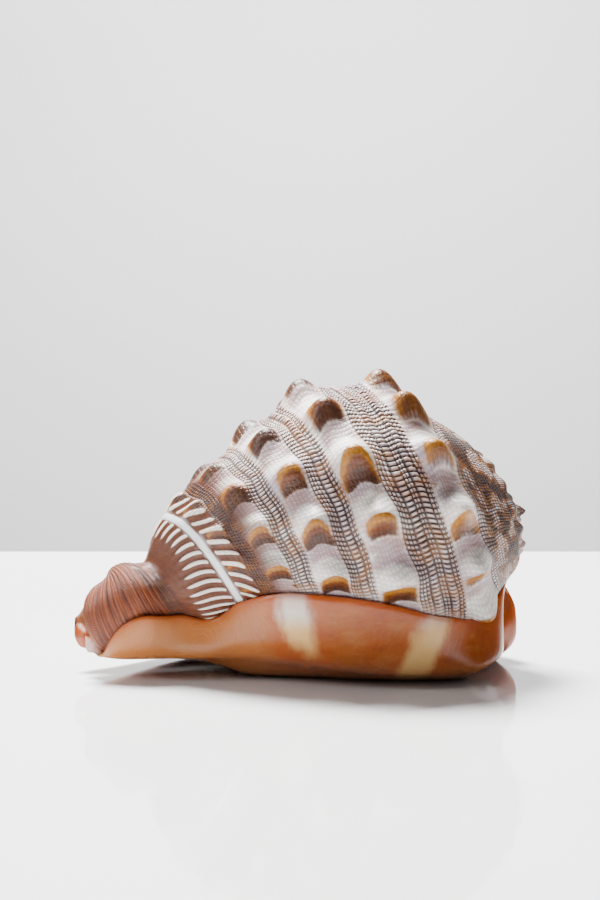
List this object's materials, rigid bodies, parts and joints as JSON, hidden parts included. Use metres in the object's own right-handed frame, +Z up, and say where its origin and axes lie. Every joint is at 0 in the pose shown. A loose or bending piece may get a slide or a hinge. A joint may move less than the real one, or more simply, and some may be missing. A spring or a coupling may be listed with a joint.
{
  "type": "helmet shell",
  "caption": "Large knobbed sea snail shell with a low spire, a glossy shield and a narrow toothed opening underneath, lying on a table.",
  "frame": {"origin": "centre of the shell's outline on the table it rests on", "axes": "+X towards the spire, -X towards the canal, -Y towards the shield side seen in the picture, +Y towards the outer lip, +Z up"},
  "size_m": [0.1503, 0.1134, 0.1002],
  "materials": {
    "shell_wall": "Natural shell: beaded white and lavender whorls with golden-brown knobs, glossy orange shield and lip."
  },
  "bodies": {
    "root": {"shell": "shell_wall"}
  },
  "joints": []
}
